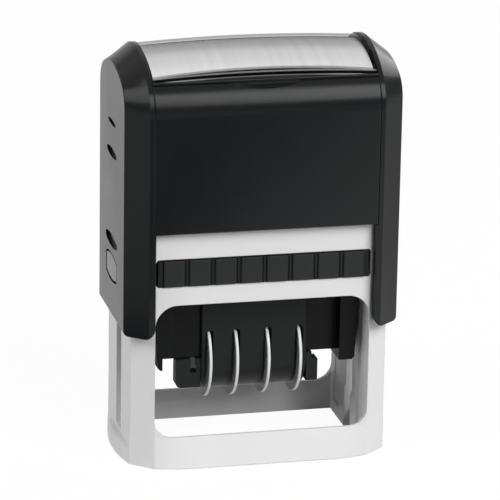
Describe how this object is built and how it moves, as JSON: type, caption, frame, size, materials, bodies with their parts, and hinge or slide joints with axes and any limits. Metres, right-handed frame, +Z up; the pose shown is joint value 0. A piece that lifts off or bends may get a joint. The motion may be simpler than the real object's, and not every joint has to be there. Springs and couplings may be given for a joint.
{
  "type": "self-inking date stamp",
  "caption": "Self-inking date stamp: a sprung handle slides over a frame and turns the dater with its setting wheels from the ink pad to the paper.",
  "frame": {"origin": "middle of the frame's foot, on the plane that stands on the paper", "axes": "+Z up along the handle's stroke, -Y towards the front face with the pad's grip cells, +X to the right of someone who looks at the front"},
  "size_m": [0.0742, 0.043, 0.1116],
  "materials": {
    "base_plastic": "light grey moulded plastic with a fine satin grain",
    "handle_plastic": "near-black moulded plastic, soft satin sheen",
    "carrier_plastic": "black moulded plastic, matt",
    "holder_plastic": "black moulded plastic, smooth",
    "button_plastic": "near-black moulded plastic, polished",
    "tray_plastic": "charcoal moulded plastic",
    "pad_felt": "felt soaked in black ink",
    "spring_steel": "bright spring steel wire",
    "pin_steel": "ground steel",
    "wheel_plastic": "pale grey moulded plastic",
    "stamp_rubber": "dark printing rubber",
    "cushion_foam": "thin foam rubber sheet",
    "window_clear": "clear moulded cover, polished",
    "card_silver": "silver index card"
  },
  "bodies": {
    "base": {"base_frame": "base_plastic", "return_spring": "spring_steel"},
    "handle": {"cover_shell": "handle_plastic", "left_arch": "handle_plastic", "right_arch": "handle_plastic", "index_card": "card_silver", "pivot_pin_left": "pin_steel", "pivot_pin_right": "pin_steel"},
    "die_carrier": {"die_holder": "holder_plastic", "plate_cushion": "cushion_foam", "text_plate": "stamp_rubber", "dater_housing": "carrier_plastic", "band_anvil": "carrier_plastic", "dial_axle": "pin_steel", "end_clip_left": "carrier_plastic", "end_clip_right": "carrier_plastic", "date_band_1": "stamp_rubber", "date_band_2": "stamp_rubber", "date_band_3": "stamp_rubber", "date_band_4": "stamp_rubber"},
    "pad_cassette": {"pad_tray": "tray_plastic", "ink_pad": "pad_felt"},
    "lock_button_left": {"lock_button_left": "button_plastic"},
    "lock_button_right": {"lock_button_right": "button_plastic"},
    "index_window": {"index_window": "window_clear"},
    "dial_1": {"setting_wheel_1": "wheel_plastic"},
    "dial_2": {"setting_wheel_2": "wheel_plastic"},
    "dial_3": {"setting_wheel_3": "wheel_plastic"},
    "dial_4": {"setting_wheel_4": "wheel_plastic"}
  },
  "joints": [
    {"name": "handle_slide", "type": "slide", "parent": "base", "child": "handle", "axis": [0, 0, 1], "range_m": [-0.027, 0], "stiffness_N_per_m": 400, "springref_m": 0.02, "deforming": ["return_spring"]},
    {"name": "carrier_flip", "type": "hinge", "parent": "handle", "child": "die_carrier", "pos_m": [0, 0, 0.038], "axis": [1, 0, 0], "range_deg": [0, 180]},
    {"name": "pad_slide", "type": "slide", "parent": "base", "child": "pad_cassette", "axis": [0, -1, 0], "range_m": [0, 0.04]},
    {"name": "lock_left_press", "type": "slide", "parent": "handle", "child": "lock_button_left", "axis": [1, 0, 0], "range_m": [0, 0.0009], "stiffness_N_per_m": 300, "springref_m": -0.001},
    {"name": "lock_right_press", "type": "slide", "parent": "handle", "child": "lock_button_right", "axis": [-1, 0, 0], "range_m": [0, 0.0009], "stiffness_N_per_m": 300, "springref_m": -0.001},
    {"name": "window_lift", "type": "slide", "parent": "handle", "child": "index_window", "axis": [0, 0, 1], "range_m": [0, 0.012]},
    {"name": "dial_1_turn", "type": "hinge", "parent": "die_carrier", "child": "dial_1", "pos_m": [0, 0, 0.0253], "axis": [1, 0, 0], "continuous": true},
    {"name": "dial_2_turn", "type": "hinge", "parent": "die_carrier", "child": "dial_2", "pos_m": [0, 0, 0.0253], "axis": [1, 0, 0], "continuous": true},
    {"name": "dial_3_turn", "type": "hinge", "parent": "die_carrier", "child": "dial_3", "pos_m": [0, 0, 0.0253], "axis": [1, 0, 0], "continuous": true},
    {"name": "dial_4_turn", "type": "hinge", "parent": "die_carrier", "child": "dial_4", "pos_m": [0, 0, 0.0253], "axis": [1, 0, 0], "continuous": true}
  ],
  "couplings": [
    {"joint": "carrier_flip", "follows": "handle_slide", "rad_per_m": -116.36}
  ]
}
